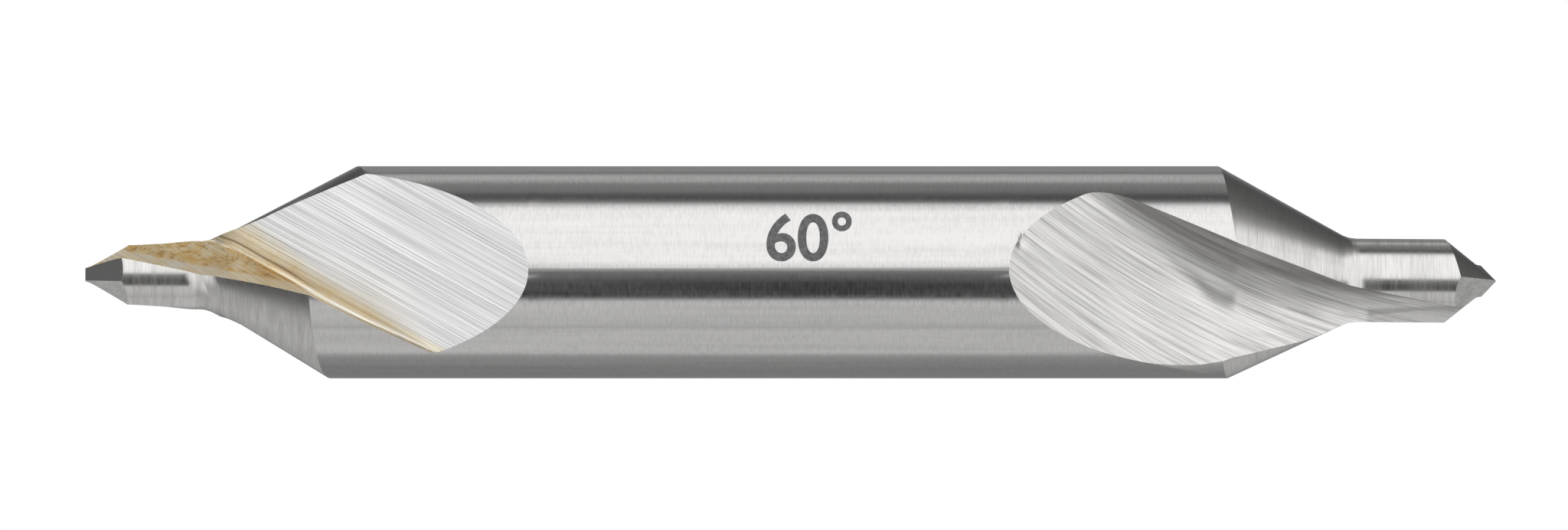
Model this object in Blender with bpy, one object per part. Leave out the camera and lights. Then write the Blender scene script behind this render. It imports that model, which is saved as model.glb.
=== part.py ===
"""Double-ended centre drill with 60 degree countersink, ground from one bar of high-speed steel.

The drill lies along X with the origin at the middle of its length and +Z up.
Each end has a pilot drill, a countersink cone and two flutes for right-hand cutting.
Sizes are in millimetres and degrees and are turned to metres where meshes are made.
"""

import math

import bmesh
import bpy
import numpy as np
from mathutils import Matrix, Vector

MM = 0.001

# Driving dimensions of the turned bar.
OVERALL_LENGTH = 53.2
SHANK_DIAMETER = 8.0
PILOT_DIAMETER = 3.15
COUNTERSINK_ANGLE = 60.0

# Helix of the cutting edges along both pilots.
PILOT_LEAD = 48.0

# Radius of the grinding wheel that leaves the long flat leaf of each flute.
WHEEL_RADIUS = 150.0

# Facets round the bar, and flute sections along each end.
BAR_FACETS = 144
FLUTE_SECTIONS = 48
WALL_POINTS = 7
FILLET_POINTS = 7
FLOOR_POINTS = 7

SHANK_RADIUS = SHANK_DIAMETER / 2
PILOT_RADIUS = PILOT_DIAMETER / 2
CONE_SLOPE = math.tan(math.radians(COUNTERSINK_ANGLE / 2))
CONE_LENGTH = (SHANK_RADIUS - PILOT_RADIUS) / CONE_SLOPE

# Cutters reach this far from the end's axis, which is well clear of the bar.
CUTTER_REACH = SHANK_RADIUS * 1.7
CUTTER_MARGIN = 0.7

# Angle behind a cutting edge at which its land ends, and the angle inside the flute from
# which the blank has its full size again, ready for the next land. Points have their own pair.
HEEL_ANGLE = 102.0
FLUTE_ANGLE = 150.0
POINT_HEEL_ANGLE = 140.0
POINT_FLUTE_ANGLE = 170.0

# The heel's extra clearance starts gently and steepens by this power. A rake wall's hollow
# deepens to the middle by the other power, where 1 is a plain V.
CLEARANCE_POWER = 1.8
HOLLOW_POWER = 1.2

# In an end's own frame t runs from the cone's small end towards the shank, u towards the
# front and w to the side that the cutting edge faces away from. Angles run from u towards w.
# Flutes, lands and facets come in pairs, half a turn apart about the end's axis.
# A land starts at its cutting edge and falls away with growing angle.
#
# nose              tip to the cone's small end
# edge_angle        angle of the cutting edge at the cone's small end
# cone_rise         rise of the edge per millimetre along the cone
# shank_rise        rise of the flute's border per millimetre along the shank
# junction_relief   axial fall of the cone and shank corner per degree behind the edge
# junction_shift    how much further back that corner lies on top than at the axis
# corner_start      t of the cone's small end at the edge, corner_relief its fall per degree
# corner_fillet     radius that joins the pilot to the cone
# heel_start        angle behind the edge where the heel's extra clearance begins
# heel_depth        radial depth of that clearance at the heel, and heel_run its length
# leaf_slope        slope of the leaf at leaf_middle, and leaf_height is its u there
# leaf_start        t at which the floor joins the leaf's arc
# wall, floor       stations along t of the rake wall's lean and of the floor's height u
# tilt              stations of the floor's rise per millimetre towards the heel
# hollow, fillet    stations of the rake wall's hollow and of the radius at its foot
# drop              stations of how far the end was ground below the shank's axis
# point             rings that close the blank at the tip, each with its t, its axial fall
#                   per degree behind the edge, and its radius
RIGHT_END = dict(
    side=1,
    nose=5.62,
    edge_angle=-6.6,
    cone_rise=0.340,
    shank_rise=0.385,
    junction_relief=0.0067,
    junction_shift=0.18,
    corner_start=-0.28,
    corner_relief=0.0026,
    corner_fillet=1.2,
    heel_start=74.0,
    heel_depth=0.24,
    heel_run=2.6,
    leaf_slope=0.4075,
    leaf_middle=10.13,
    leaf_height=2.90,
    leaf_start=5.6,
    wall=((-7.0, -50.0), (-5.6, -43.0), (-4.0, -27.0), (0.0, 5.8), (2.4, 20.0), (4.2, 24.9)),
    floor=((-7.0, -0.06), (-4.0, -0.07), (0.0, -0.11), (2.5, 0.07)),
    tilt=(
        (-0.8, 0.0), (0.7, 0.14), (1.9, 0.31), (2.9, 0.40),
        (4.2, 0.36), (5.75, 0.17), (7.5, 0.07), (9.4, 0.032),
    ),
    hollow=((-7.0, 0.0), (0.0, 0.0)),
    fillet=(
        (-7.0, 0.30), (-5.0, 0.40), (-3.0, 0.60), (0.0, 1.15),
        (2.4, 1.80), (5.0, 2.20), (7.5, 1.90), (10.0, 1.20),
    ),
    drop=((-6.0, 0.34), (0.0, 0.30), (4.5, 0.13), (8.5, 0.0)),
    point=((-4.62, 0.0075, PILOT_RADIUS), (-5.62, 0.0, 0.03)),
)
LEFT_END = dict(
    side=-1,
    nose=4.37,
    edge_angle=-1.7,
    cone_rise=0.165,
    shank_rise=0.527,
    junction_relief=0.0149,
    junction_shift=0.52,
    corner_start=0.0,
    corner_relief=0.0120,
    corner_fillet=2.0,
    heel_start=84.0,
    heel_depth=0.03,
    heel_run=0.12,
    leaf_slope=0.4087,
    leaf_middle=9.28,
    leaf_height=2.70,
    leaf_start=3.4,
    wall=(
        (-5.5, 4.0), (-4.4, 7.4), (-3.0, 10.6), (-1.5, 17.8), (0.0, 26.2),
        (0.9, 25.4), (2.5, 12.6), (3.2, 7.5), (4.2, 0.0),
    ),
    floor=((-5.5, -1.37), (-3.0, -1.20), (0.0, -0.98), (0.4, -0.88), (0.9, -0.42), (2.2, 0.02)),
    tilt=(
        (0.0, 0.0), (0.9, 0.06), (2.0, 0.13), (3.0, 0.14),
        (4.2, 0.09), (5.4, 0.03), (6.8, -0.01), (8.5, -0.02),
    ),
    hollow=((-4.4, 0.83), (-3.0, 0.67), (-1.5, 0.52), (0.0, 0.36), (0.9, 0.22), (2.5, 0.03), (4.2, 0.0)),
    fillet=((-5.5, 0.10), (-0.6, 0.12), (0.2, 0.22)),
    drop=((-4.4, 0.09), (0.0, 0.11), (2.2, 0.12), (4.8, 0.24), (8.7, 0.0)),
    point=((-4.37, 0.0, PILOT_RADIUS),),
)

# Drill points. A facet is the plane d = rest + along_u * u + along_w * w, where d is the
# distance back from the tip, and a twin facet lies half a turn round.
RIGHT_FACETS = ((0.0, 0.914, -0.43),)
LEFT_FACETS = ((0.0, 0.926, -0.123), (-0.18, 0.912, 0.706))

# Width of the narrow ring between the shank and a cone.
SEAM_GAP = 0.02


def clear_scene():
    for thing in list(bpy.data.objects):
        bpy.data.objects.remove(thing, do_unlink=True)


def new_collection(name):
    collection = bpy.data.collections.new(name)
    bpy.context.scene.collection.children.link(collection)
    return collection


def steel():
    """Ground and polished high-speed steel."""
    material = bpy.data.materials.new("ground_steel")
    material.use_nodes = True
    shader = material.node_tree.nodes["Principled BSDF"]
    shader.inputs["Base Color"].default_value = (0.52, 0.51, 0.50, 1.0)
    shader.inputs["Metallic"].default_value = 1.0
    shader.inputs["Roughness"].default_value = 0.28
    return material


def smooth_value(stations, t):
    """Value at t on a smooth curve through control stations that never overshoots them."""
    spots, values = np.array(stations).T
    if t <= spots[0]:
        return float(values[0])
    if t >= spots[-1]:
        return float(values[-1])
    steps = np.diff(values) / np.diff(spots)
    slopes = np.concatenate((steps[:1], np.zeros(len(steps) - 1), steps[-1:]))
    for k in range(1, len(steps)):
        if steps[k - 1] * steps[k] > 0:
            slopes[k] = 2 * steps[k - 1] * steps[k] / (steps[k - 1] + steps[k])
    i = int(np.searchsorted(spots, t)) - 1
    width = spots[i + 1] - spots[i]
    s = (t - spots[i]) / width
    start = (2 * s ** 3 - 3 * s ** 2 + 1) * values[i] + (s ** 3 - 2 * s ** 2 + s) * width * slopes[i]
    finish = (3 * s ** 2 - 2 * s ** 3) * values[i + 1] + (s ** 3 - s ** 2) * width * slopes[i + 1]
    return float(start + finish)


def place(end, t, u, w, turned=1):
    """Point of the drill in metres from an end's own frame; turned is -1 for the twin."""
    corner = OVERALL_LENGTH / 2 - end["nose"]
    height = end["side"] * turned * w - smooth_value(end["drop"], t)
    return Vector((end["side"] * (corner - t), -turned * u, height)) * MM


def edge_point(end, t):
    """Cutting edge on pilot and cone, and the flute's upper border along the shank."""
    if t <= 0:
        angle = math.radians(end["edge_angle"] + 360 / PILOT_LEAD * t)
        return PILOT_RADIUS * math.cos(angle), PILOT_RADIUS * math.sin(angle)
    radius = min(PILOT_RADIUS + t * CONE_SLOPE, SHANK_RADIUS)
    rise = PILOT_RADIUS * math.sin(math.radians(end["edge_angle"]))
    rise += end["cone_rise"] * min(t, CONE_LENGTH)
    rise += end["shank_rise"] * max(t - CONE_LENGTH, 0)
    front = math.sqrt(max(radius ** 2 - rise ** 2, (0.3 * radius) ** 2))
    return front, rise


def edge_angle(end, t):
    """Angle of the cutting edge in degrees."""
    front, rise = edge_point(end, t)
    return math.degrees(math.atan2(rise, front))


def floor_height(end, t):
    """Height u of the flute's floor: control stations first, then the wheel's long arc."""
    past = max(t, end["leaf_start"]) - end["leaf_middle"]
    leaf = end["leaf_height"] + end["leaf_slope"] * past + past ** 2 / (2 * WHEEL_RADIUS)
    if t < end["leaf_start"]:
        return smooth_value(end["floor"] + ((end["leaf_start"], leaf),), t)
    return leaf


def flute_section(end, t):
    """Closed outline in (u, w) of the space that a flute takes at t."""
    edge = Vector(edge_point(end, t))
    floor = floor_height(end, t)
    lean = math.tan(math.radians(smooth_value(end["wall"], t)))
    tilt = smooth_value(end["tilt"], t)
    foot_w = (edge.y - (edge.x - floor) * lean) / (1 + tilt * lean)
    foot = Vector((floor - tilt * foot_w, foot_w))
    up = Vector((1.0, lean)).normalized()
    opening = up.angle(Vector((tilt, -1.0)))
    radius = smooth_value(end["fillet"], t)
    setback = radius / math.tan(opening / 2)

    # The rake wall runs from outside the bar down to the fillet, hollowed towards the web.
    wall_end = foot + up * setback
    length = max((edge - wall_end).dot(up), radius)
    hollow = smooth_value(end["hollow"], t)
    into_bar = Vector((-up.y, up.x))
    points = [wall_end + up * (length + CUTTER_REACH / 2)]
    for i in range(WALL_POINTS):
        share = i / (WALL_POINTS - 1)
        bulge = hollow * (1 - abs(2 * share - 1) ** HOLLOW_POWER)
        points.append(wall_end + up * (length * (1 - share)) + into_bar * bulge)

    # The fillet turns the wall into the floor.
    middle = wall_end - into_bar * radius
    for i in range(1, FILLET_POINTS + 1):
        angle = (math.pi - opening) * i / FILLET_POINTS
        spoke = into_bar * math.cos(angle) - up * math.sin(angle)
        points.append(middle + spoke * radius)

    # The floor runs on to outside the bar.
    start = points[-1]
    finish = Vector((floor + tilt * CUTTER_REACH, -CUTTER_REACH))
    for i in range(1, FLOOR_POINTS + 1):
        points.append(start.lerp(finish, i / FLOOR_POINTS))
    points.append(Vector((CUTTER_REACH, -CUTTER_REACH)))
    return points


def loft(name, rings, collection):
    """Solid through rings of as many points each, closed by flat ends."""
    mesh = bmesh.new()
    loops = [[mesh.verts.new(point) for point in ring] for ring in rings]
    count = len(rings[0])
    for near, far in zip(loops, loops[1:]):
        for i in range(count):
            j = (i + 1) % count
            mesh.faces.new((near[i], near[j], far[j], far[i]))
    mesh.faces.new(reversed(loops[0]))
    mesh.faces.new(loops[-1])
    if mesh.calc_volume(signed=True) < 0:
        bmesh.ops.reverse_faces(mesh, faces=mesh.faces)
    data = bpy.data.meshes.new(name)
    mesh.to_mesh(data)
    mesh.free()
    solid = bpy.data.objects.new(name, data)
    collection.objects.link(solid)
    return solid


def behind_edge(start, angle, heel=HEEL_ANGLE, flute=FLUTE_ANGLE):
    """Angle behind a land's cutting edge, which winds back to zero inside the flute."""
    behind = (angle - start) % 180
    if behind <= heel:
        return behind
    return heel * max(flute - behind, 0) / (flute - heel)


def clearance(end, behind):
    """Share of the heel's extra clearance reached at an angle behind the edge."""
    past = max(behind - end["heel_start"], 0) / (HEEL_ANGLE - end["heel_start"])
    return past ** CLEARANCE_POWER


def on_bar(end, t, radius, ray):
    """Point on the bar itself, which has no drop."""
    corner = OVERALL_LENGTH / 2 - end["nose"]
    return Vector((end["side"] * (corner - t), -radius * ray[0], end["side"] * radius * ray[1])) * MM


def end_rings(end, angles):
    """Rings of the relieved blank from the shank corner of an end out to its tip."""
    outer_start = edge_angle(end, CONE_LENGTH)
    inner_start = edge_angle(end, 0)
    corner = end["corner_fillet"]
    setback = corner * math.tan(math.radians(COUNTERSINK_ANGLE / 4))
    shank, junction, *fillet = rings = [[] for _ in range(5)]
    for angle in angles:
        ray = (math.cos(math.radians(angle)), math.sin(math.radians(angle)))
        behind = behind_edge(outer_start, angle)
        heel = clearance(end, behind)
        reach = CONE_LENGTH + end["junction_relief"] * behind + end["junction_shift"] * end["side"] * ray[1]
        shank.append(on_bar(end, reach + SEAM_GAP + end["heel_run"] * heel, SHANK_RADIUS, ray))
        junction.append(on_bar(end, reach, SHANK_RADIUS - end["heel_depth"] * heel, ray))
        inner = end["corner_start"] + end["corner_relief"] * behind_edge(inner_start, angle)
        cone = math.atan2(SHANK_RADIUS - PILOT_RADIUS, reach - inner)
        for ring, lean in zip(fillet, (cone, cone / 2, 0)):
            t = inner - setback + corner * math.sin(lean)
            radius = PILOT_RADIUS + corner * (1 - math.cos(lean))
            ring.append(place(end, t, radius * ray[0], radius * ray[1]))
    for t, relief, radius in end["point"]:
        border_start = edge_angle(end, t)
        ring = []
        for angle in angles:
            ray = (math.cos(math.radians(angle)), math.sin(math.radians(angle)))
            fall = relief * behind_edge(border_start, angle, POINT_HEEL_ANGLE, POINT_FLUTE_ANGLE)
            ring.append(place(end, t + fall, radius * ray[0], radius * ray[1]))
        rings.append(ring)
    return rings


def relieved_blank(collection):
    """The bar with both cones, pilots and points, before the flutes are ground."""
    turns = [360 * i / BAR_FACETS for i in range(BAR_FACETS)]
    right = end_rings(RIGHT_END, turns)
    left = end_rings(LEFT_END, [-angle for angle in turns])
    return loft("centre_drill", list(reversed(left)) + right, collection)


def flute_cutter(name, end, turned, collection):
    """Everything that one flute removes, from past the tip to where its leaf leaves the shank."""
    start = -end["nose"] - CUTTER_MARGIN
    finish = end["leaf_middle"] + (SHANK_RADIUS - end["leaf_height"]) / end["leaf_slope"] + CUTTER_MARGIN
    rings = []
    for i in range(FLUTE_SECTIONS + 1):
        t = start + (finish - start) * i / FLUTE_SECTIONS
        rings.append([place(end, t, u, w, turned) for u, w in flute_section(end, t)])
    return loft(name, rings, collection)


def facet_cutter(name, end, facet, turned, collection):
    """A block whose face grinds one flat of a drill point."""
    rest, along_u, along_w = facet
    tip = -end["nose"]
    base = place(end, tip + rest, 0, 0)
    slope_u = Vector((-end["side"] * along_u, -turned, 0))
    slope_w = Vector((-end["side"] * along_w, 0, end["side"] * turned))
    outward = slope_u.cross(slope_w).normalized()
    if outward.x * end["side"] < 0:
        outward = -outward
    size = 2 * SHANK_DIAMETER * MM
    bpy.ops.mesh.primitive_cube_add(size=size)
    block = bpy.context.active_object
    block.name = name
    for owner in list(block.users_collection):
        owner.objects.unlink(block)
    collection.objects.link(block)
    turn = outward.to_track_quat("Z", "Y").to_matrix().to_4x4()
    block.matrix_world = Matrix.Translation(base + outward * size / 2) @ turn
    return block


def grind(target, cutter):
    """Take a cutter's space out of the drill and hide the cutter."""
    modifier = target.modifiers.new(cutter.name, "BOOLEAN")
    modifier.operation = "DIFFERENCE"
    modifier.solver = "EXACT"
    modifier.object = cutter
    cutter.hide_render = True
    cutter.display_type = "WIRE"


def build():
    clear_scene()
    parts = new_collection("centre_drill")
    cutters = new_collection("grinding_cutters")
    drill = relieved_blank(parts)
    drill.data.materials.append(steel())
    for polygon in drill.data.polygons:
        polygon.use_smooth = True
    drill.data.set_sharp_from_angle(angle=math.radians(12))
    for label, end, facets in (("right", RIGHT_END, RIGHT_FACETS), ("left", LEFT_END, LEFT_FACETS)):
        for turned, twin in ((1, "a"), (-1, "b")):
            grind(drill, flute_cutter(f"{label}_flute_{twin}", end, turned, cutters))
            for i, facet in enumerate(facets):
                grind(drill, facet_cutter(f"{label}_facet_{i}_{twin}", end, facet, turned, cutters))


build()
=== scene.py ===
"""Looks of a double-ended centre drill lying on a pale studio floor.

The drill is ground from one bar of high-speed steel, so its whole skin is one surface.
Sizes are in millimetres and degrees, and a mesh is turned to metres when it is made.
"""

import math

import bmesh
import bpy
import numpy as np
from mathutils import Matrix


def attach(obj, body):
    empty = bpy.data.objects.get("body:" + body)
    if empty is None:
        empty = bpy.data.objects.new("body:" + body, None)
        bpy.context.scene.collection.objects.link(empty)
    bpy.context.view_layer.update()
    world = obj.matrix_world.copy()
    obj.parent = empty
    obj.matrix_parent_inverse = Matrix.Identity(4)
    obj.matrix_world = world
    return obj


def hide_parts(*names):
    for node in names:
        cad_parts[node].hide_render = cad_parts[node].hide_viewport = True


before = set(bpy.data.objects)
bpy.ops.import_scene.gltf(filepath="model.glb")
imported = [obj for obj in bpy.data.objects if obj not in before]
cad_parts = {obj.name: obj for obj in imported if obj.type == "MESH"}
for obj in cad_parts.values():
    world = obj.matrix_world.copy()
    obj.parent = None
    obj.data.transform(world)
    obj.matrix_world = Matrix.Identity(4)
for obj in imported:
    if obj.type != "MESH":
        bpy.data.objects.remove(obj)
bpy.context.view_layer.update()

# The view is square on to the drill's side, through a long lens from far away. At the
# drill's axis one millimetre is 34.6 pixels of an image 2048 pixels wide.
MM = 0.001
PIXELS_PER_MM = 34.625
IMAGE_WIDTH = 2048
LENS = 500.0
SENSOR = 36.0
VIEW_CENTRE_X = -0.245
VIEW_CENTRE_Z = 0.274

eye_distance = IMAGE_WIDTH / PIXELS_PER_MM * LENS / SENSOR
eye = bpy.data.objects.new("studio_camera", bpy.data.cameras.new("studio_camera"))
bpy.context.scene.collection.objects.link(eye)
eye.data.lens = LENS
eye.data.sensor_width = SENSOR
eye.data.clip_start = 0.01
eye.data.clip_end = 20.0
eye.location = (VIEW_CENTRE_X * MM, -eye_distance * MM, VIEW_CENTRE_Z * MM)
eye.rotation_euler = (math.pi / 2, 0, 0)
bpy.context.scene.camera = eye
bpy.context.scene.view_settings.view_transform = "Standard"


# The studio is a white sweep with one long softbox above the lens and dark gaps beside it,
# which polished steel shows as long bands. Faces ground at a slant see its side panels, and
# the cones see the panels beyond, up to dark walls at both ends. Each list runs round the
# drill's axis: degrees from the lens over the top, with the grey seen there in sRGB.
FRONT_BANDS = (
    (-180, "#6c6c6c"), (-130, "#7c7c7c"), (-104, "#909090"), (-98, "#bebebe"), (-64, "#bcbcbc"),
    (-62, "#949494"), (-60, "#b8b8b8"), (-31, "#c6c6c6"), (-28, "#2a2a2a"), (-12, "#2c2c2c"),
    (-6, "#4c4c4c"), (3, "#6c6c6c"), (6, "#f2f2f2"), (14, "#ffffff"), (70, "#ffffff"),
    (78, "#dcdcdc"), (83, "#484848"), (92, "#404040"), (99, "#747474"), (112, "#7c7c7c"),
    (120, "#aeaeae"), (133, "#a6a6a6"), (137, "#585858"), (143, "#848484"), (180, "#707070"),
)
SIDE_BANDS = (
    (-180, "#808080"), (-120, "#b4b4b4"), (-60, "#a8a8a8"), (-38, "#d8d8d8"), (-10, "#f4f4f4"),
    (72, "#ffffff"), (92, "#8c8c8c"), (112, "#5c5c5c"), (150, "#464646"), (180, "#6c6c6c"),
)
CONE_BANDS = (
    (-180, "#8c8c8c"), (-134, "#b8b8b8"), (-108, "#b4b4b4"), (-86, "#8c8c8c"), (-60, "#484848"),
    (-12, "#303030"), (-2, "#484848"), (8, "#f4f4f4"), (50, "#f4f4f4"), (72, "#c4c4c4"),
    (96, "#7c7c7c"), (120, "#585858"), (150, "#4c4c4c"), (180, "#8c8c8c"),
)
SIDES_START = 0.09
SIDES_END = 0.24
CONES_START = 0.76
CONES_END = 0.84
ENDS_START = 0.93
ENDS_END = 0.97
END_WALLS = "#606060"
PANEL_BRIGHTNESS = 1.55
FLOOR_SIZE = 3000.0
FLOOR_GAP = 0.01
FLOOR_COLOUR = "#ffffff"
SHANK_RADIUS = 4.0


def linear(code):
    """sRGB hex colour as linear red, green, blue and alpha."""
    parts = [int(code[i:i + 2], 16) / 255 for i in (1, 3, 5)]
    return [c / 12.92 if c <= 0.04045 else ((c + 0.055) / 1.055) ** 2.4 for c in parts] + [1.0]


def node(tree, kind, links=None, stops=(), **settings):
    """Add a node, set its properties, its ramp's (place, colour) stops and its inputs."""
    made = tree.nodes.new(kind)
    for key, value in settings.items():
        setattr(made, key, value)
    for i, (place, colour) in enumerate(stops):
        elements = made.color_ramp.elements
        element = elements[i] if i < len(elements) else elements.new(place)
        element.position = place
        element.color = linear(colour)
    for name, value in (links or {}).items():
        socket = made.inputs[name]
        if isinstance(value, bpy.types.NodeSocket):
            tree.links.new(value, socket)
        else:
            socket.default_value = value
    return made


world = bpy.data.worlds.new("studio")
bpy.context.scene.world = world
world.use_nodes = True
sky = world.node_tree
sky.nodes.clear()
toward = node(sky, "ShaderNodeTexCoord").outputs["Generated"]
split = node(sky, "ShaderNodeSeparateXYZ", {"Vector": toward})
ahead = node(sky, "ShaderNodeMath", {0: split.outputs["Y"], 1: -1.0},
             operation="MULTIPLY").outputs[0]
around = node(sky, "ShaderNodeMath", {0: split.outputs["Z"], 1: ahead},
              operation="ARCTAN2").outputs[0]
turn = node(sky, "ShaderNodeMath", {0: around, 1: 0.5 / math.pi, 2: 0.5},
            operation="MULTIPLY_ADD").outputs[0]
aside = node(sky, "ShaderNodeMath", {0: split.outputs["X"]}, operation="ABSOLUTE").outputs[0]
panels = []
for bands in (FRONT_BANDS, SIDE_BANDS, CONE_BANDS):
    stops = [(angle / 360 + 0.5, colour) for angle, colour in bands]
    panels.append(node(sky, "ShaderNodeValToRGB", {"Fac": turn}, stops=stops).outputs["Color"])
seen, side_panel, cone_panel = panels
for start, finish, panel in (
    (SIDES_START, SIDES_END, side_panel),
    (CONES_START, CONES_END, cone_panel),
    (ENDS_START, ENDS_END, linear(END_WALLS)),
):
    share = node(sky, "ShaderNodeMapRange", {"Value": aside, "From Min": start, "From Max": finish})
    share = share.outputs[0]
    seen = node(sky, "ShaderNodeMix", {0: share, 6: seen, 7: panel}, data_type="RGBA").outputs[2]
mirrored = node(sky, "ShaderNodeBackground", {"Color": seen, "Strength": PANEL_BRIGHTNESS})
plain = node(sky, "ShaderNodeBackground", {"Color": linear("#ffffff"), "Strength": 1.0})
rays = node(sky, "ShaderNodeLightPath").outputs["Is Glossy Ray"]
chosen = node(sky, "ShaderNodeMixShader", {0: rays, 1: plain.outputs[0], 2: mirrored.outputs[0]})
node(sky, "ShaderNodeOutputWorld", {"Surface": chosen.outputs[0]})

# Seen straight on the floor is as white as the sweep, and it lights the drill from below.
floor_mesh = bpy.data.meshes.new("studio_floor")
half = FLOOR_SIZE / 2 * MM
floor_corners = [(-half, -half, 0), (half, -half, 0), (half, half, 0), (-half, half, 0)]
floor_mesh.from_pydata(floor_corners, [], [(0, 1, 2, 3)])
floor = bpy.data.objects.new("studio_floor", floor_mesh)
bpy.context.scene.collection.objects.link(floor)
floor.location.z = -(SHANK_RADIUS + FLOOR_GAP) * MM
floor.visible_glossy = False
paper = bpy.data.materials.new("white_paper_sweep")
paper.use_nodes = True
tree = paper.node_tree
tree.nodes.clear()
matt = node(tree, "ShaderNodeBsdfDiffuse", {"Color": linear(FLOOR_COLOUR)})
bright = node(tree, "ShaderNodeEmission", {"Color": linear(FLOOR_COLOUR)})
rays = node(tree, "ShaderNodeLightPath").outputs["Is Camera Ray"]
chosen = node(tree, "ShaderNodeMixShader", {0: rays, 1: matt.outputs[0], 2: bright.outputs[0]})
node(tree, "ShaderNodeOutputMaterial", {"Surface": chosen.outputs[0]})
floor_mesh.materials.append(paper)


# The drill is one bar of high-speed steel, 8 mm across, turned to a cone and a 3.15 mm pilot at
# each end. Two flutes are ground into each end, and lands, cones and points are then relieved
# behind their cutting edges. Its skin is a grid: rings along the bar, places round each ring.
OVERALL_LENGTH = 53.2
PILOT_RADIUS = 3.15 / 2
COUNTERSINK_ANGLE = 60.0
PILOT_LEAD = 48.0
WHEEL_RADIUS = 150.0
HEEL_ANGLE = 102.0
FLUTE_ANGLE = 150.0
POINT_HEEL_ANGLE = 140.0
POINT_FLUTE_ANGLE = 170.0
CLEARANCE_POWER = 1.8
HOLLOW_POWER = 1.2
SEAM_GAP = 0.02
CUTTER_REACH = SHANK_RADIUS * 1.7
LEAST_FRONT = 0.3
CONE_SLOPE = math.tan(math.radians(COUNTERSINK_ANGLE / 2))
CONE_LENGTH = (SHANK_RADIUS - PILOT_RADIUS) / CONE_SLOPE

# In an end's own frame t runs from the cone's small end towards the shank, u towards the
# front and w to the side that the cutting edge faces away from. Stations give values along t.
# wall is the rake wall's lean in degrees, floor the flute's height u, tilt its fall per
# millimetre across w, hollow the wall's bulge, fillet the radius at its foot, and drop how far
# the end was ground below the shank's axis. A relief is in millimetres per degree behind the
# cutting edge. point has (t, relief, radius) rings from the tip on. A facet is the plane
# d = rest + along_u u + along_w w, where d is the distance back from the tip.
RIGHT_END = dict(
    side=1,
    nose=5.62,
    edge_angle=-6.6,
    cone_rise=0.340,
    shank_rise=0.385,
    junction_relief=0.0067,
    junction_shift=0.18,
    corner_start=-0.28,
    corner_relief=0.0026,
    corner_fillet=1.2,
    heel_start=74.0,
    heel_depth=0.24,
    heel_run=2.6,
    leaf_slope=0.4075,
    leaf_middle=10.13,
    leaf_height=2.90,
    leaf_start=5.6,
    wall=((-7.0, -50.0), (-5.6, -43.0), (-4.0, -27.0), (0.0, 5.8), (2.4, 20.0), (4.2, 24.9)),
    floor=((-7.0, -0.06), (-4.0, -0.07), (0.0, -0.11), (2.5, 0.07)),
    tilt=(
        (-0.8, 0.0), (0.7, 0.14), (1.9, 0.31), (2.9, 0.40),
        (4.2, 0.36), (5.75, 0.17), (7.5, 0.07), (9.4, 0.032),
    ),
    hollow=((-7.0, 0.0), (0.0, 0.0)),
    fillet=(
        (-7.0, 0.30), (-5.0, 0.40), (-3.0, 0.60), (0.0, 1.15),
        (2.4, 1.80), (5.0, 2.20), (7.5, 1.90), (10.0, 1.20),
    ),
    drop=((-6.0, 0.34), (0.0, 0.30), (4.5, 0.13), (8.5, 0.0)),
    point=((-5.62, 0.0, 0.03), (-4.62, 0.0075, PILOT_RADIUS)),
    tip_ring=-4.70,
    facets=((0.0, 0.914, -0.43),),
)
LEFT_END = dict(
    side=-1,
    nose=4.37,
    edge_angle=-1.7,
    cone_rise=0.165,
    shank_rise=0.527,
    junction_relief=0.0149,
    junction_shift=0.52,
    corner_start=0.0,
    corner_relief=0.0120,
    corner_fillet=2.0,
    heel_start=84.0,
    heel_depth=0.03,
    heel_run=0.12,
    leaf_slope=0.4087,
    leaf_middle=9.28,
    leaf_height=2.70,
    leaf_start=3.4,
    wall=(
        (-5.5, 4.0), (-4.4, 7.4), (-3.0, 10.6), (-1.5, 17.8), (0.0, 26.2),
        (0.9, 25.4), (2.5, 12.6), (3.2, 7.5), (4.2, 0.0),
    ),
    floor=((-5.5, -1.37), (-3.0, -1.20), (0.0, -0.98), (0.4, -0.88), (0.9, -0.42), (2.2, 0.02)),
    tilt=(
        (0.0, 0.0), (0.9, 0.06), (2.0, 0.13), (3.0, 0.14),
        (4.2, 0.09), (5.4, 0.03), (6.8, -0.01), (8.5, -0.02),
    ),
    hollow=((-4.4, 0.83), (-3.0, 0.67), (-1.5, 0.52), (0.0, 0.36), (0.9, 0.22), (2.5, 0.03), (4.2, 0.0)),
    fillet=((-5.5, 0.10), (-0.6, 0.12), (0.2, 0.22)),
    drop=((-4.4, 0.09), (0.0, 0.11), (2.2, 0.12), (4.8, 0.24), (8.7, 0.0)),
    point=((-4.52, 0.0, PILOT_RADIUS),),
    tip_ring=None,
    facets=((0.0, 0.926, -0.123), (-0.18, 0.912, 0.706)),
)

# Grid cells between the key rings from the tip on, the rings that crowd to where the flutes
# close, and those along the plain shank. An end has only the tip cells that its point needs.
TIP_CELLS = [24, 10]
FILLET_KEYS = 3
END_CELLS = [34, 3, 3, 40, 12]
CLOSING_RINGS = 64
MIDDLE_RINGS = 24

# Grid cells round one half of a ring: the flute's floor, fillet and rake wall, then the land.
FLOOR_CELLS = 22
FILLET_CELLS = 8
WALL_CELLS = 12
LAND_CELLS = 72

# Samples along an end and across a flute's outline when borders are looked for, and the
# stations between which the flutes close.
TABLE_STATIONS = 700
TABLE_PLACES = 681
TABLE_OVERHANG = 0.4
OUTLINE_END = 3.4
ON_BAR = 1e-5
NOT_ZERO = 1e-9
CLOSING_FROM = 9.0
CLOSING_TO = 14.0
CLOSING_STATIONS = 2001
CLOSING_PLACES = 541


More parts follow.
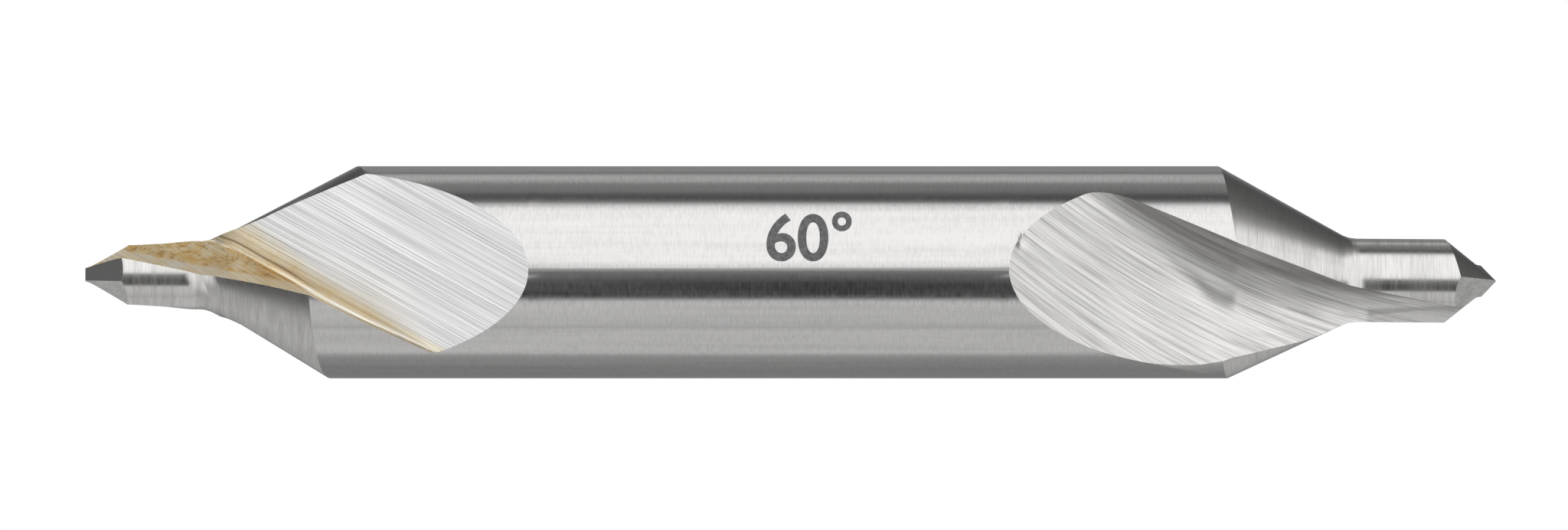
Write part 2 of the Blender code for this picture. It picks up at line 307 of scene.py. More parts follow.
def smooth_value(stations, t):
    """Monotone cubic through (place, value) stations, held level beyond both ends.

    Each inner slope is the harmonic mean of the steps beside it, or 0 where they turn.
    """
    spots, values = np.array(stations).T
    steps = np.diff(values) / np.diff(spots)
    same = steps[:-1] * steps[1:] > 0
    total = np.where(same, steps[:-1] + steps[1:], 1.0)
    inner = np.where(same, 2 * steps[:-1] * steps[1:] / total, 0.0)
    slopes = np.concatenate((steps[:1], inner, steps[-1:]))
    t = np.clip(t, spots[0], spots[-1])
    i = np.clip(np.searchsorted(spots, t) - 1, 0, len(steps) - 1)
    width = spots[i + 1] - spots[i]
    s = (t - spots[i]) / width
    start = (2 * s ** 3 - 3 * s ** 2 + 1) * values[i] + (s ** 3 - 2 * s ** 2 + s) * width * slopes[i]
    finish = (3 * s ** 2 - 2 * s ** 3) * values[i + 1] + (s ** 3 - s ** 2) * width * slopes[i + 1]
    return start + finish


def edge_point(end, t):
    """(u, w) of the cutting edge: a helix on the pilot, then a straight rise on cone and shank."""
    angle = np.radians(end["edge_angle"] + 360 / PILOT_LEAD * t)
    radius = np.minimum(PILOT_RADIUS + np.maximum(t, 0) * CONE_SLOPE, SHANK_RADIUS)
    rise = PILOT_RADIUS * math.sin(math.radians(end["edge_angle"]))
    rise = rise + end["cone_rise"] * np.clip(t, 0, CONE_LENGTH)
    rise = rise + end["shank_rise"] * np.maximum(t - CONE_LENGTH, 0)
    front = np.sqrt(np.maximum(radius ** 2 - rise ** 2, (LEAST_FRONT * radius) ** 2))
    on_pilot = t <= 0
    return (np.where(on_pilot, PILOT_RADIUS * np.cos(angle), front),
            np.where(on_pilot, PILOT_RADIUS * np.sin(angle), rise))


def floor_height(end, t):
    """Height u of the flute's floor: stations, then the arc of the grinding wheel."""
    past = np.maximum(t, end["leaf_start"]) - end["leaf_middle"]
    leaf = end["leaf_height"] + end["leaf_slope"] * past + past ** 2 / (2 * WHEEL_RADIUS)
    past = end["leaf_start"] - end["leaf_middle"]
    start = end["leaf_height"] + end["leaf_slope"] * past + past ** 2 / (2 * WHEEL_RADIUS)
    early = smooth_value(end["floor"] + ((end["leaf_start"], start),), t)
    return np.where(t < end["leaf_start"], early, leaf)


def flute_point(end, t, p):
    """(u, w) of a flute's outline at t, and its distance from the crease at the wall's foot.

    From p 0 to 1 it runs along the straight floor from outside the bar, from 1 to 2 round
    the fillet arc, and from 2 to 3 up the rake wall to the cutting edge. At share s the wall
    bulges into the bar by 1 - |2 s - 1| ^ HOLLOW_POWER times its hollow. Past 3 it goes
    straight on.
    """
    edge_u, edge_w = edge_point(end, t)
    base = floor_height(end, t)
    lean = np.tan(np.radians(smooth_value(end["wall"], t)))
    tilt = smooth_value(end["tilt"], t)
    foot_w = (edge_w - (edge_u - base) * lean) / (1 + tilt * lean)
    foot_u = base - tilt * foot_w
    up_u = 1 / np.hypot(1, lean)
    up_w = lean / np.hypot(1, lean)
    opening = np.arccos((up_u * tilt - up_w) / np.hypot(tilt, 1))
    radius = smooth_value(end["fillet"], t)
    setback = radius / np.tan(opening / 2)
    wall_u = foot_u + up_u * setback
    wall_w = foot_w + up_w * setback
    length = np.maximum((edge_u - wall_u) * up_u + (edge_w - wall_w) * up_w, radius)

    share = p - 2
    bulge = smooth_value(end["hollow"], t) * (1 - np.abs(2 * np.clip(share, 0, 1) - 1) ** HOLLOW_POWER)
    rake_u = wall_u + up_u * length * share - up_w * bulge
    rake_w = wall_w + up_w * length * share + up_u * bulge

    swing = (math.pi - opening) * np.clip(2 - p, 0, 1)
    arc_u = wall_u + up_w * radius + radius * (-up_w * np.cos(swing) - up_u * np.sin(swing))
    arc_w = wall_w - up_u * radius + radius * (up_u * np.cos(swing) - up_w * np.sin(swing))

    share = np.clip(1 - p, 0, 1)
    far_u = base + tilt * CUTTER_REACH
    flat_u = arc_u + (far_u - arc_u) * share
    flat_w = arc_w + (-CUTTER_REACH - arc_w) * share

    u = np.where(p > 2, rake_u, np.where(p > 1, arc_u, flat_u))
    w = np.where(p > 2, rake_w, np.where(p > 1, arc_w, flat_w))
    away = np.hypot(u - foot_u, w - foot_w) * np.where(p > 1.5, -1, 1)
    return u, w, away


def behind_edge(start, angle, heel=HEEL_ANGLE, flute=FLUTE_ANGLE):
    """Angle behind a land's cutting edge, which winds back to zero inside the flute."""
    behind = (angle - start) % 180
    winding = heel * np.maximum(flute - behind, 0) / (flute - heel)
    return np.where(behind <= heel, behind, winding)


def blank_keys(end, angle, close):
    """Station, radius and drop of each key ring of the turned and relieved bar at an angle.

    The keys run from the tip through the corner fillet, the cone's two ends and a narrow
    seam to the station where the flutes close. Relief adds to t in step with the angle
    behind the cutting edge, and a level ring near the tip keeps it off the chisel.
    """
    def direction(t):
        u, w = edge_point(end, np.array(float(t)))
        return math.degrees(math.atan2(w, u))

    rise = np.sin(np.radians(angle))
    behind = behind_edge(direction(CONE_LENGTH), angle)
    past = np.maximum(behind - end["heel_start"], 0) / (HEEL_ANGLE - end["heel_start"])
    heel = past ** CLEARANCE_POWER
    reach = CONE_LENGTH + end["junction_relief"] * behind + end["junction_shift"] * end["side"] * rise
    inner = end["corner_start"] + end["corner_relief"] * behind_edge(direction(0), angle)
    corner = end["corner_fillet"]
    setback = corner * math.tan(math.radians(COUNTERSINK_ANGLE / 4))
    cone = np.arctan2(SHANK_RADIUS - PILOT_RADIUS, reach - inner)
    keys = []
    for t, relief, radius in end["point"]:
        place = t + relief * behind_edge(direction(t), angle, POINT_HEEL_ANGLE, POINT_FLUTE_ANGLE)
        if keys and end["tip_ring"] is not None:
            share = (end["tip_ring"] - keys[0][0]) / (place - keys[0][0])
            ring = keys[0][1] + share * (radius - keys[0][1])
            level = end["tip_ring"] + 0 * angle
            keys.append((level, ring, smooth_value(end["drop"], level)))
        keys.append((place, radius + 0 * angle, smooth_value(end["drop"], place)))
    for share in np.linspace(0, 1, FILLET_KEYS):
        lean = cone * share
        place = inner - setback + corner * np.sin(lean)
        radius = PILOT_RADIUS + corner * (1 - np.cos(lean))
        keys.append((place, radius, smooth_value(end["drop"], place)))
    keys.append((reach, SHANK_RADIUS - end["heel_depth"] * heel, 0 * angle))
    keys.append((reach + SEAM_GAP + end["heel_run"] * heel, SHANK_RADIUS + 0 * angle, 0 * angle))
    keys.append((close + 0 * angle, SHANK_RADIUS + 0 * angle, 0 * angle))
    return [np.stack(column) for column in zip(*keys)]


def blank_at(end, t, angle, close):
    """Radius and drop of the bar at t and an angle, on straight lines between its key rings."""
    places, radii, drops = blank_keys(end, angle, close)
    radius = radii[0]
    drop = drops[0]
    for near in range(len(places) - 1):
        width = np.maximum(places[near + 1] - places[near], 1e-6)
        share = np.clip((t - places[near]) / width, 0, 1)
        reached = t >= places[near]
        radius = np.where(reached, radii[near] + share * (radii[near + 1] - radii[near]), radius)
        drop = np.where(reached, drops[near] + share * (drops[near + 1] - drops[near]), drop)
    return radius, drop


def on_ring(end, ring, angle, close):
    """(t, radius, drop) of the bar at a ring number, which counts key rings from the tip."""
    places, radii, drops = blank_keys(end, angle, close)
    near = np.clip(np.floor(ring).astype(int), 0, len(places) - 2)
    share = ring - near
    picked = []
    for values in (places, radii, drops):
        low = np.take_along_axis(values, near[None], axis=0)[0]
        high = np.take_along_axis(values, near[None] + 1, axis=0)[0]
        picked.append(low + share * (high - low))
    return picked


def flute_in_bar(end, turned, t, p, close):
    """A flute's outline held against the bar, whose own drop shifts it in w at each angle.

    It gives the point (u, w), its distance from the crease, its angle about the bar, how far
    outside the bar it is, and the bar's shift and radius at that angle.
    """
    u, w, away = flute_point(end, t, p)
    half_turn = 0 if turned == 1 else 180
    shift = np.zeros_like(u)
    for _ in range(2):
        angle = np.degrees(np.arctan2(w - shift, u))
        radius, drop = blank_at(end, t, angle + half_turn, close)
        shift = turned * end["side"] * (smooth_value(end["drop"], t) - drop)
    outside = np.hypot(u, w - shift) - radius
    return u, w, away, angle, outside, shift, radius


def flute_table(end, turned, close):
    """For a table of stations, where the flute's outline enters and leaves the bar."""
    t = np.linspace(-end["nose"] - TABLE_OVERHANG, close, TABLE_STATIONS)[:, None]
    p = np.linspace(0, OUTLINE_END, TABLE_PLACES)[None, :]
    outside = flute_in_bar(end, turned, t + 0 * p, p + 0 * t, close)[4]
    inside = outside < ON_BAR
    first = np.maximum(np.argmax(inside, axis=1), 1)
    last = np.minimum(p.size - 1 - np.argmax(inside[:, ::-1], axis=1), p.size - 2)
    nearest = np.argmin(outside, axis=1)
    rows = np.arange(t.size)
    before, after = outside[rows, first - 1], outside[rows, first]
    heel = p[0, first - 1] + (p[0, 1] - p[0, 0]) * before / (before - after)
    before, after = outside[rows, last], outside[rows, last + 1]
    share = np.clip(-before / np.maximum(after - before, NOT_ZERO), 0, 1)
    edge = p[0, last] + (p[0, 1] - p[0, 0]) * share
    shut = ~inside.any(axis=1)
    heel = np.where(shut, p[0, nearest], heel)
    edge = np.where(shut, p[0, nearest], edge)
    ends = []
    for spot in (heel, edge):
        ends.append(flute_in_bar(end, turned, t[:, 0], spot, close)[3])
    return dict(t=t[:, 0], heel=heel, edge=edge, heel_angle=ends[0], edge_angle=ends[1])


def border_stations(end, ring, table, name, half_turn, close):
    """The station and angle at which each ring first meets a flute's heel or edge.

    A ring that never meets it before the flutes close is taken to meet it there.
    """
    t = table["t"]
    angle = table[name + "_angle"] + half_turn
    ahead = on_ring(end, ring[:, None] + 0 * t, angle + 0 * ring[:, None], close)[0] - t
    ahead[:, -1] = np.minimum(ahead[:, -1], 0)
    hit = np.maximum(np.argmax(ahead <= 0, axis=1), 1)
    rows = np.arange(len(ring))
    before, after = ahead[rows, hit - 1], ahead[rows, hit]
    share = np.clip(before / np.maximum(before - after, NOT_ZERO), 0, 1)
    met = t[hit - 1] + (t[hit] - t[hit - 1]) * share
    return met, np.interp(met, t, angle)


def closing_station(end):
    """The last station at which the flute's outline still enters the bar."""
    t = np.linspace(CLOSING_FROM, CLOSING_TO, CLOSING_STATIONS)[:, None]
    p = np.linspace(0.3, 3.0, CLOSING_PLACES)[None, :]
    u, w, _ = flute_point(end, t + 0 * p, p + 0 * t)
    open_rows = (np.hypot(u, w) < SHANK_RADIUS).any(axis=1)
    return float(t[open_rows, 0].max())


def end_skin(end):
    """World points in millimetres of an end's grid, from its tip to where its flutes close.

    Ring numbers run evenly between the key rings, and crowd towards the closing station.
    Round a ring come flute, land, twin flute and twin land. A flute's points lie on its
    outline, each at a station blended between the ring's stations at heel and edge. With the
    points come the values that a flute's finish reads: t, the height seen, the distance from
    the crease and that from the cutting edge in w. Then come the ring numbers and how many
    key rings the point has.
    """
    close = closing_station(end)
    tips = len(end["point"]) + (end["tip_ring"] is not None)
    cells = TIP_CELLS[:tips - 1] + END_CELLS
    numbers = [np.arange(count) / count + i for i, count in enumerate(cells)]
    crowd = 1 - (1 - np.linspace(0, 1, CLOSING_RINGS)) ** 2
    numbers.append(len(cells) + crowd)
    ring = np.concatenate(numbers)
    twins = {turned: flute_table(end, turned, close) for turned in (1, -1)}
    stations = {}
    for turned, table in twins.items():
        half_turn = 0 if turned == 1 else 180
        for name in ("heel", "edge"):
            met, angle = border_stations(end, ring, table, name, half_turn, close)
            stations[turned, name] = met
            stations[turned, name + "_angle"] = angle

    corner = OVERALL_LENGTH / 2 - end["nose"]
    blocks = []
    marks = []
    for turned in (1, -1):
        table = twins[turned]
        q = np.concatenate((
            np.linspace(0, 1, FLOOR_CELLS, endpoint=False),
            1 + np.linspace(0, 1, FILLET_CELLS, endpoint=False),
            2 + np.linspace(0, 1, WALL_CELLS + 1),
        ))
        weight = q / 3
        t = stations[turned, "heel"][:, None] * (1 - weight) + stations[turned, "edge"][:, None] * weight
        heel = np.interp(t, table["t"], table["heel"])
        edge = np.interp(t, table["t"], table["edge"])
        foot = np.clip(1, heel, edge)
        rise = np.clip(2, heel, edge)
        on_floor = heel + (foot - heel) * np.clip(q, 0, 1)
        p = on_floor + (rise - foot) * np.clip(q - 1, 0, 1) + (edge - rise) * np.clip(q - 2, 0, 1)
        u, w, away, _, _, shift, radius = flute_in_bar(end, turned, t, p, close)
        scale = np.minimum(1, radius / np.maximum(np.hypot(u, w - shift), 1e-6))
        u = u * scale
        w = (w - shift) * scale + shift
        height = end["side"] * turned * w - smooth_value(end["drop"], t)
        blocks.append(np.stack((end["side"] * (corner - t), -turned * u, height), axis=-1))
        lip = np.abs(w - edge_point(end, t)[1])
        seen = end["side"] * turned * height
        marks.append(np.stack((t, seen, away, lip), axis=-1))

        start = stations[turned, "edge_angle"][:, None]
        finish = stations[-turned, "heel_angle"][:, None]
        finish = start + (finish - start) % 360
        share = np.arange(1, LAND_CELLS) / LAND_CELLS
        angle = start + (finish - start) * share
        t, radius, drop = on_ring(end, ring[:, None] + 0 * angle, angle, close)
        rays = np.radians(angle)
        height = end["side"] * radius * np.sin(rays) - drop
        blocks.append(np.stack((end["side"] * (corner - t), -radius * np.cos(rays), height), axis=-1))
        marks.append(np.zeros(t.shape + (4,)))
    return np.concatenate(blocks, axis=1), np.concatenate(marks, axis=1), ring, tips


def ring_angles(points):
    """Angles about the bar of a ring's points, unwrapped so that they only grow."""
    return np.unwrap(np.arctan2(points[:, 2], -points[:, 1]))


# The two ends run opposite ways round, so the left grid is turned over and rolled to start
# with a flute too. Rings along the plain shank twist evenly from one end's angles to the other's.
FLUTE_CELLS = FLOOR_CELLS + FILLET_CELLS + WALL_CELLS
HALF_CELLS = FLUTE_CELLS + LAND_CELLS
right, right_marks, right_rings, right_tips = end_skin(RIGHT_END)
left, left_marks, left_rings, left_tips = end_skin(LEFT_END)
left = np.roll(left[:, ::-1], 1 - LAND_CELLS, axis=1)
left_marks = np.roll(left_marks[:, ::-1], 1 - LAND_CELLS, axis=1)
start = ring_angles(left[-1])
finish = ring_angles(right[-1])
gap = np.mean(finish - start)
half_turns = int(round(gap / math.pi))
if half_turns % 2:
    left = np.roll(left, HALF_CELLS, axis=1)
    left_marks = np.roll(left_marks, HALF_CELLS, axis=1)
    start = ring_angles(left[-1])
finish = finish - 2 * math.pi * round(np.mean(finish - start) / (2 * math.pi))
share = np.linspace(0, 1, MIDDLE_RINGS + 2)[1:-1, None]
angle = start + (finish - start) * share
x = left[-1, 0, 0] + (right[-1, 0, 0] - left[-1, 0, 0]) * share + 0 * angle
middle = np.stack((x, -SHANK_RADIUS * np.cos(angle), SHANK_RADIUS * np.sin(angle)), axis=-1)
grid = np.concatenate((left, middle, right[::-1]))
marks = np.concatenate((left_marks, np.zeros(middle.shape[:2] + (4,)), right_marks[::-1]))

# A knock at the right leaf's far end: a dent NICK_DEPTH deep that fades by exp(-d^2), where d
# is the distance from its middle over its half widths along x and z.
NICK_X = 8.66
NICK_Z = 1.23
NICK_HALF_X = 0.13
NICK_HALF_Z = 0.30
NICK_DEPTH = 0.16
apart = ((grid[..., 0] - NICK_X) / NICK_HALF_X) ** 2 + ((grid[..., 2] - NICK_Z) / NICK_HALF_Z) ** 2
dent = np.where(grid[..., 1] < 0, NICK_DEPTH * np.exp(-apart), 0)
grid[..., 1] += dent

# Which finish each cell of the grid has. The materials are made further down in this order.
SHANK, LANDS, RIGHT_FLUTES, LEFT_FLUTES, POINTS = range(5)
rows, columns = grid.shape[:2]
finish_of = np.full((rows - 1, columns), SHANK)
left_rows = len(left_rings) - 1
right_rows = len(right_rings) - 1
finish_of[:left_rows] = np.where(left_rings[:-1, None] < left_tips + FILLET_KEYS, LANDS, SHANK)
finish_of[-right_rows:] = np.where(right_rings[-2::-1, None] < right_tips + FILLET_KEYS, LANDS, SHANK)
flute_columns = np.arange(columns) % HALF_CELLS < FLUTE_CELLS
finish_of[:left_rows, flute_columns] = LEFT_FLUTES
finish_of[-right_rows:, flute_columns] = RIGHT_FLUTES

row, column = np.meshgrid(np.arange(rows - 1), np.arange(columns), indexing="ij")
after = (column + 1) % columns
faces = np.stack((row * columns + column, row * columns + after,
                  (row + 1) * columns + after, (row + 1) * columns + column), axis=-1).reshape(-1, 4)
skin = bpy.data.meshes.new("ground_drill")
skin.from_pydata(grid.reshape(-1, 3) * MM, [], faces.tolist())
skin.polygons.foreach_set("material_index", finish_of.ravel())
ground = skin.attributes.new("ground", "FLOAT_COLOR", "POINT")
ground.data.foreach_set("color", marks.ravel())

# Points that coincide, as where a flute shuts, are merged, and the open ring at each tip is
# closed. The three distances are in metres.
MERGED = 2e-7
ON_PLANE = 1e-7
TOO_SHORT = 5e-7
solid = bmesh.new()
solid.from_mesh(skin)
bmesh.ops.remove_doubles(solid, verts=solid.verts, dist=MERGED)
bmesh.ops.holes_fill(solid, edges=[edge for edge in solid.edges if edge.is_boundary], sides=0)
bmesh.ops.recalc_face_normals(solid, faces=solid.faces)


def grind_facet(end, facet, turned):
    """Cut the tip off at the plane d = rest + along_u u + along_w w and close the cut."""
    rest, along_u, along_w = facet
    side = end["side"]
    tip = -end["nose"] + rest
    origin_x = side * (OVERALL_LENGTH / 2 - end["nose"] - tip)
    origin = np.array((origin_x, 0, -float(smooth_value(end["drop"], tip))))
    slope_u = np.array((-side * along_u, -turned, 0))
    slope_w = np.array((-side * along_w, 0, side * turned))
    outward = np.cross(slope_u, slope_w)
    outward = outward * np.sign(outward[0] * side)
    parts = list(solid.verts) + list(solid.edges) + list(solid.faces)
    bmesh.ops.bisect_plane(solid, geom=parts, dist=ON_PLANE, plane_co=origin * MM,
                           plane_no=outward, clear_outer=True)
    open_edges = [edge for edge in solid.edges if edge.is_boundary]
    closed = bmesh.ops.holes_fill(solid, edges=open_edges, sides=0)
    for face in closed["faces"]:
        face.material_index = POINTS
    bmesh.ops.dissolve_degenerate(solid, edges=solid.edges, dist=TOO_SHORT)


for end in (RIGHT_END, LEFT_END):
    for facet in end["facets"]:
        for turned in (1, -1):
            grind_facet(end, facet, turned)
if solid.calc_volume(signed=True) < 0:
    bmesh.ops.reverse_faces(solid, faces=solid.faces)

# Every border of a flute is a sharp edge, and so is any other fold of SHARP_ANGLE or more.
SHARP_ANGLE = 16.0
for face in solid.faces:
    face.smooth = True
for edge in solid.edges:
    finishes = {face.material_index for face in edge.link_faces}
    border = len(finishes) > 1 and bool(finishes & {RIGHT_FLUTES, LEFT_FLUTES})
    edge.smooth = not border and edge.calc_face_angle(0) < math.radians(SHARP_ANGLE)
solid.to_mesh(skin)
solid.free()
drill = bpy.data.objects.new("ground_drill", skin)
bpy.context.scene.collection.objects.link(drill)
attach(drill, "root")
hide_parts("centre_drill")


def ground_metal(name, colour, rough, place, tone, hair, darkest, relief):
    """A metal whose grinding marks change its tone, its roughness and its relief.

    place gives millimetres, either the drill's own x, y and z or along a flute's marks and
    across them. tone and hair are how many streaks and scratches there are per millimetre
    each way, darkest is the tone of the darkest streak and relief the depth of the scratches
    in millimetres. Real scratches are a few thousandths of a millimetre apart, and are drawn
    about ten times coarser to show.
    """
    made = bpy.data.materials.new(name)
    made.use_nodes = True
    tree = made.node_tree
    shader = tree.nodes["Principled BSDF"]
    shader.inputs["Metallic"].default_value = 1.0
    spot = place(tree)
    wide = node(tree, "ShaderNodeVectorMath", {0: spot, 1: tone}, operation="MULTIPLY").outputs[0]
    wide = node(tree, "ShaderNodeTexNoise", {"Vector": wide, "Scale": 1.0, "Detail": 5.0,
                                             "Roughness": 0.62}).outputs[0]
    thin = node(tree, "ShaderNodeVectorMath", {0: spot, 1: hair}, operation="MULTIPLY").outputs[0]
    thin = node(tree, "ShaderNodeTexNoise", {"Vector": thin, "Scale": 1.0, "Detail": 3.0,
                                             "Roughness": 0.6}).outputs[0]

    # The sum of the two noises lies mostly between 0.7 and 1.3.
    both = node(tree, "ShaderNodeMath", {0: wide, 1: thin}, operation="ADD").outputs[0]
    light = node(tree, "ShaderNodeMapRange", {"Value": both, "From Min": 0.78, "From Max": 1.14,
                                              "To Min": darkest, "To Max": 1.0}).outputs[0]
    shade = node(tree, "ShaderNodeMix", {0: 1.0, 6: linear(colour), 7: light},
                 data_type="RGBA", blend_type="MULTIPLY").outputs[2]
    tree.links.new(shade, shader.inputs["Base Color"])
    dull = node(tree, "ShaderNodeMapRange", {"Value": both, "From Min": 0.7, "From Max": 1.3,
                                             "To Min": rough * 1.3, "To Max": rough * 0.75}).outputs[0]
    tree.links.new(dull, shader.inputs["Roughness"])
    bump = node(tree, "ShaderNodeBump", {"Height": both, "Strength": 1.0, "Distance": relief * MM})
    tree.links.new(bump.outputs[0], shader.inputs["Normal"])
    skin.materials.append(made)
    return tree, shader, shade


def on_metal(tree):
    """Millimetres along the drill's own x, y and z."""
    spot = node(tree, "ShaderNodeTexCoord").outputs["Object"]
    return node(tree, "ShaderNodeVectorMath", {0: spot, "Scale": 1000.0}, operation="SCALE").outputs[0]


def in_flute(slope, bend):
    """Millimetres along a flute and across its marks.

    The marks climb in the height seen by (slope + bend t) t, with t along the end.
    """
    def place(tree):
        spot = node(tree, "ShaderNodeAttribute", attribute_name="ground").outputs["Vector"]
        spot = node(tree, "ShaderNodeSeparateXYZ", {0: spot})
        along, height = spot.outputs[:2]
        rise = node(tree, "ShaderNodeMath", {0: along, 1: bend, 2: slope},
                    operation="MULTIPLY_ADD").outputs[0]
        rise = node(tree, "ShaderNodeMath", {0: along, 1: rise}, operation="MULTIPLY").outputs[0]
        across = node(tree, "ShaderNodeMath", {0: height, 1: rise}, operation="SUBTRACT").outputs[0]
        return node(tree, "ShaderNodeCombineXYZ", {0: along, 1: across}).outputs[0]
    return place


# The shank is centreless ground and polished, so it mirrors the studio in long bands. Faint
# drag marks run along it and hair-fine ones run round it, which roughen the bands' borders.
ground_metal("polished_shank_steel", "#c6c5c4", 0.16, on_metal,
             (0.07, 2.6, 2.6), (14.0, 3.0, 3.0), 0.88, 0.00015)

# Cones, pilots and lands are cylindrically ground with a coarser wheel. Its streaks run round
# them and break the reflections into short upright dashes.
ground_metal("streaked_land_steel", "#c8c7c5", 0.20, on_metal,
             (3.5, 0.3, 0.3), (22.0, 1.2, 1.2), 0.80, 0.0004)

# The right flutes are ground from the solid with a coarse wheel fed along the leaf, which
# leaves long slanting scratches, bright and dark by turns.
ground_metal("right_flute_steel", "#d0cfcd", 0.33, in_flute(0.285, 0.02),
             (0.14, 6.0, 1.0), (0.45, 30.0, 1.0), 0.54, 0.0030)

# The left flutes were ground the same way but straighter. Heat and cutting fluid have stained
# the rake face golden brown, and the tint fades out along the foot of the leaf.
tree, shader, shade = ground_metal("heat_tinted_flute_steel", "#dadada", 0.32, in_flute(0.554, 0.0),
                                   (0.08, 13.0, 1.0), (0.22, 34.0, 1.0), 0.58, 0.0020)
HEAT_TINTS = ((0.0, "#ffffff"), (0.2, "#fff6e2"), (0.45, "#ffe8ba"), (0.7, "#f3c87c"), (1.0, "#c08a3c"))
TINT_REACH = 1.9
TINT_NARROWING = -0.19
TINT_LEAST = 0.45
# Width and fade of a painted highlight along the cutting edge, where less tint makes the edge look
# lighter.
LIP_HIGHLIGHT_BAND = 0.26
LIP_FADE = 0.06
WALL_START = -0.02
WALL_TINT = 0.30
LEAF_TINT = 0.40
ground_spot = node(tree, "ShaderNodeAttribute", attribute_name="ground")
spot = node(tree, "ShaderNodeSeparateXYZ", {0: ground_spot.outputs["Vector"]})
along, _, away = spot.outputs
lip = ground_spot.outputs["Alpha"]
cloud = node(tree, "ShaderNodeTexNoise", {"Vector": ground_spot.outputs["Vector"], "Scale": 1.3,
                                          "Detail": 5.0, "Roughness": 0.6,
                                          "Distortion": 0.6}).outputs[0]
reach = node(tree, "ShaderNodeMath", {0: along, 1: TINT_NARROWING, 2: TINT_REACH},
             operation="MULTIPLY_ADD").outputs[0]
reach = node(tree, "ShaderNodeMath", {0: reach, 1: TINT_LEAST}, operation="MAXIMUM").outputs[0]
faded = node(tree, "ShaderNodeMath", {0: away, 1: reach}, operation="DIVIDE").outputs[0]
faded = node(tree, "ShaderNodeMapRange", {"Value": faded, "From Min": 0.5, "From Max": 1.1,
                                          "To Min": LEAF_TINT, "To Max": 0.0}).outputs[0]
on_wall = node(tree, "ShaderNodeMath", {0: away, 1: WALL_START}, operation="LESS_THAN").outputs[0]
stained = node(tree, "ShaderNodeMath", {0: on_wall, 1: WALL_TINT, 2: faded},
               operation="MULTIPLY_ADD").outputs[0]
uneven = node(tree, "ShaderNodeMapRange", {"Value": cloud, "From Min": 0.3, "From Max": 0.7,
                                           "To Min": 0.45, "To Max": 1.2}).outputs[0]
stained = node(tree, "ShaderNodeMath", {0: stained, 1: uneven}, operation="MULTIPLY").outputs[0]
# Painted highlight: within a band along the cutting edge the tint is cut to 0.55, so the edge looks
# lighter, as if a narrow face there caught the light.
lip_highlight = node(tree, "ShaderNodeMapRange", {"Value": lip, "From Min": LIP_HIGHLIGHT_BAND,
                                              "From Max": LIP_HIGHLIGHT_BAND + LIP_FADE,
                                              "To Min": 0.55, "To Max": 1.0}).outputs[0]
stained = node(tree, "ShaderNodeMath", {0: stained, 1: lip_highlight}, operation="MULTIPLY").outputs[0]
tint = node(tree, "ShaderNodeValToRGB", {"Fac": stained}, stops=HEAT_TINTS).outputs["Color"]
tinted = node(tree, "ShaderNodeMix", {0: 1.0, 6: shade, 7: tint},
              data_type="RGBA", blend_type="MULTIPLY").outputs[2]

# Dried fluid left dark wavy rims on the rake face, and a brown line is drawn on the leaf
# beside the crease. The rims are contour lines of a noise.
RIM_AND_LINE_COLOUR = "#6a5232"
RIM_SCALE = (0.9, 2.4, 0.0)
RIM_STEPS = 14.0
LINE_FROM_CREASE = 0.34
rims = node(tree, "ShaderNodeVectorMath", {0: ground_spot.outputs["Vector"], 1: RIM_SCALE},
            operation="MULTIPLY")
rims = node(tree, "ShaderNodeTexNoise", {"Vector": rims.outputs[0], "Scale": 1.0, "Detail": 3.0,
                                         "Distortion": 1.2}).outputs[0]
rims = node(tree, "ShaderNodeMath", {0: rims, 1: RIM_STEPS}, operation="MULTIPLY").outputs[0]
rims = node(tree, "ShaderNodeMath", {0: rims, 1: 1.0}, operation="PINGPONG").outputs[0]
rims = node(tree, "ShaderNodeMapRange", {"Value": rims, "From Min": 0.0, "From Max": 0.2,
                                         "To Min": 1.0, "To Max": 0.0}).outputs[0]
marked = node(tree, "ShaderNodeMapRange", {"Value": stained, "From Min": 0.3, "From Max": 0.6,
                                           "To Min": 0.0, "To Max": 0.85}).outputs[0]
rims = node(tree, "ShaderNodeMath", {0: rims, 1: marked}, operation="MULTIPLY").outputs[0]
line = node(tree, "ShaderNodeMath", {0: away, 1: LINE_FROM_CREASE}, operation="SUBTRACT").outputs[0]
line = node(tree, "ShaderNodeMath", {0: line}, operation="ABSOLUTE").outputs[0]
line = node(tree, "ShaderNodeMapRange", {"Value": line, "From Min": 0.01, "From Max": 0.07,
                                         "To Min": 1.0, "To Max": 0.0}).outputs[0]
early = node(tree, "ShaderNodeMapRange", {"Value": along, "From Min": 3.4, "From Max": 4.6,
                                          "To Min": 0.8, "To Max": 0.0}).outputs[0]
line = node(tree, "ShaderNodeMath", {0: line, 1: early}, operation="MULTIPLY").outputs[0]
rims_and_line = node(tree, "ShaderNodeMath", {0: rims, 1: line}, operation="MAXIMUM").outputs[0]
with_rims_and_line = node(tree, "ShaderNodeMix", {0: rims_and_line, 6: tinted, 7: linear(RIM_AND_LINE_COLOUR)},
             data_type="RGBA").outputs[2]
tree.links.new(with_rims_and_line, shader.inputs["Base Color"])

# The oxide dulls the mirror, most of all near the tip, where it is thickest.
oxide = node(tree, "ShaderNodeMath", {0: stained, 1: on_wall}, operation="MAXIMUM").outputs[0]
shine = node(tree, "ShaderNodeMapRange", {"Value": along, "From Min": 1.6, "From Max": 3.2,
                                          "To Min": 0.3, "To Max": 0.95}).outputs[0]
bare = node(tree, "ShaderNodeMapRange", {"Value": oxide, "From Min": 0.05, "From Max": 0.4,
                                         "To Min": 1.0, "To Max": shine}).outputs[0]
tree.links.new(bare, shader.inputs["Metallic"])

# The drill points are finished on a finer wheel and are plain mid-grey.
ground_metal("point_facet_steel", "#c0bfbe", 0.24, on_metal,
             (1.0, 4.0, 4.0), (3.0, 18.0, 18.0), 0.82, 0.0001)

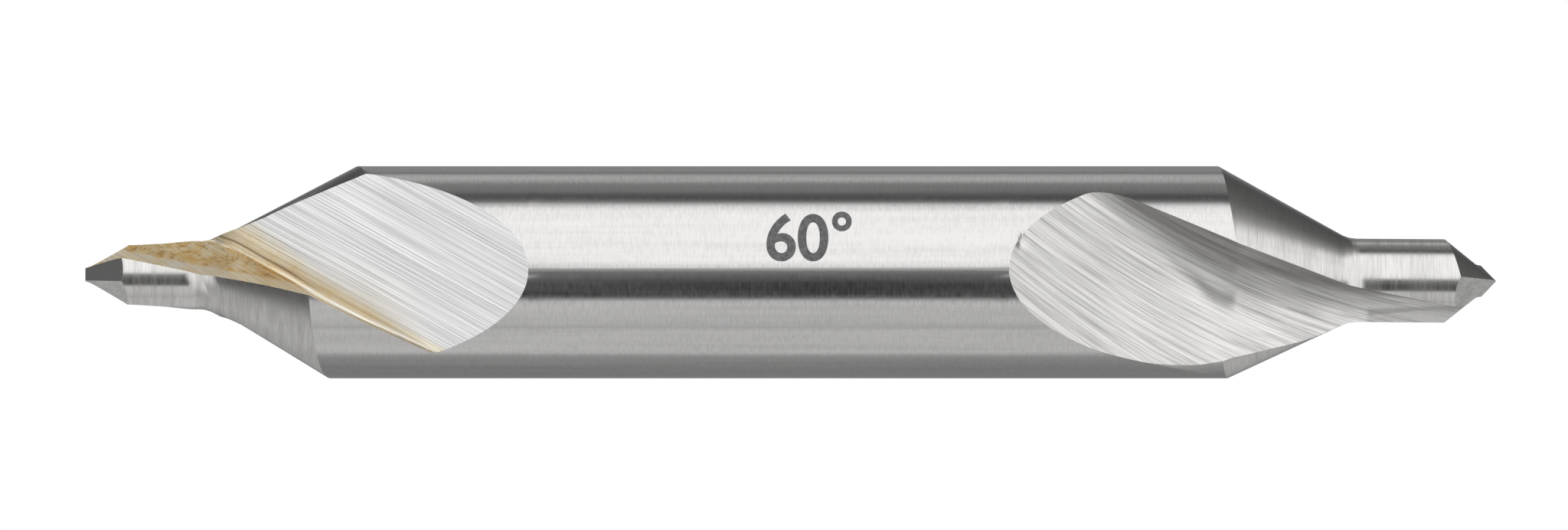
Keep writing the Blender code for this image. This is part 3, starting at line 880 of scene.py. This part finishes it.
# The shank carries its cone angle, etched with acid through a stencil: a dull dark grey film
# that scatters light where the polished bar mirrors it. The film is laid straight on to the
# round bar from the front: a point at height z goes to angle asin(z / radius).
MARK_TEXT = "60\u00b0"
MARK_SIZE = 2.42
MARK_WEIGHT = 0.045
MARK_X = 0.72
MARK_Z = 1.20
MARK_PROUD = 0.004
MARK_DEPTH = 0.04
MARK_STEP = 0.15
ETCH_GREYS = ((0.35, "#4e4e4e"), (0.7, "#6e6e6e"))
letters = bpy.data.curves.new("angle_mark", "FONT")
letters.body = MARK_TEXT
letters.align_x = "CENTER"
letters.align_y = "CENTER"
letters.size = MARK_SIZE
letters.offset = MARK_WEIGHT
letters.extrude = MARK_DEPTH / 2
typed = bpy.data.objects.new("typed_mark", letters)
etched = bpy.data.meshes.new_from_object(typed)
bpy.data.objects.remove(typed)
film = bmesh.new()
film.from_mesh(etched)
bmesh.ops.remove_doubles(film, verts=film.verts, dist=1e-4)

# The film is cut into strips, so that it can bend with the bar.
for height in np.arange(-MARK_SIZE, MARK_SIZE, MARK_STEP):
    parts = list(film.verts) + list(film.edges) + list(film.faces)
    bmesh.ops.bisect_plane(film, geom=parts, dist=1e-6, plane_co=(0, height, 0), plane_no=(0, 1, 0))
for vert in film.verts:
    reach = SHANK_RADIUS + MARK_PROUD + vert.co.z - MARK_DEPTH / 2
    rise = math.asin((MARK_Z + vert.co.y) / SHANK_RADIUS)
    vert.co = ((MARK_X + vert.co.x) * MM, -reach * math.cos(rise) * MM, reach * math.sin(rise) * MM)
bmesh.ops.recalc_face_normals(film, faces=film.faces)
film.to_mesh(etched)
film.free()
acid = bpy.data.materials.new("acid_etched_grey")
acid.use_nodes = True
tree = acid.node_tree
shader = tree.nodes["Principled BSDF"]
speckle = node(tree, "ShaderNodeTexNoise", {"Vector": on_metal(tree), "Scale": 7.0, "Detail": 4.0})
worn = node(tree, "ShaderNodeValToRGB", {"Fac": speckle.outputs[0]}, stops=ETCH_GREYS)
tree.links.new(worn.outputs["Color"], shader.inputs["Base Color"])
shader.inputs["Roughness"].default_value = 0.7
etched.materials.clear()
etched.materials.append(acid)
mark = bpy.data.objects.new("angle_mark", etched)
bpy.context.scene.collection.objects.link(mark)
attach(mark, "root")
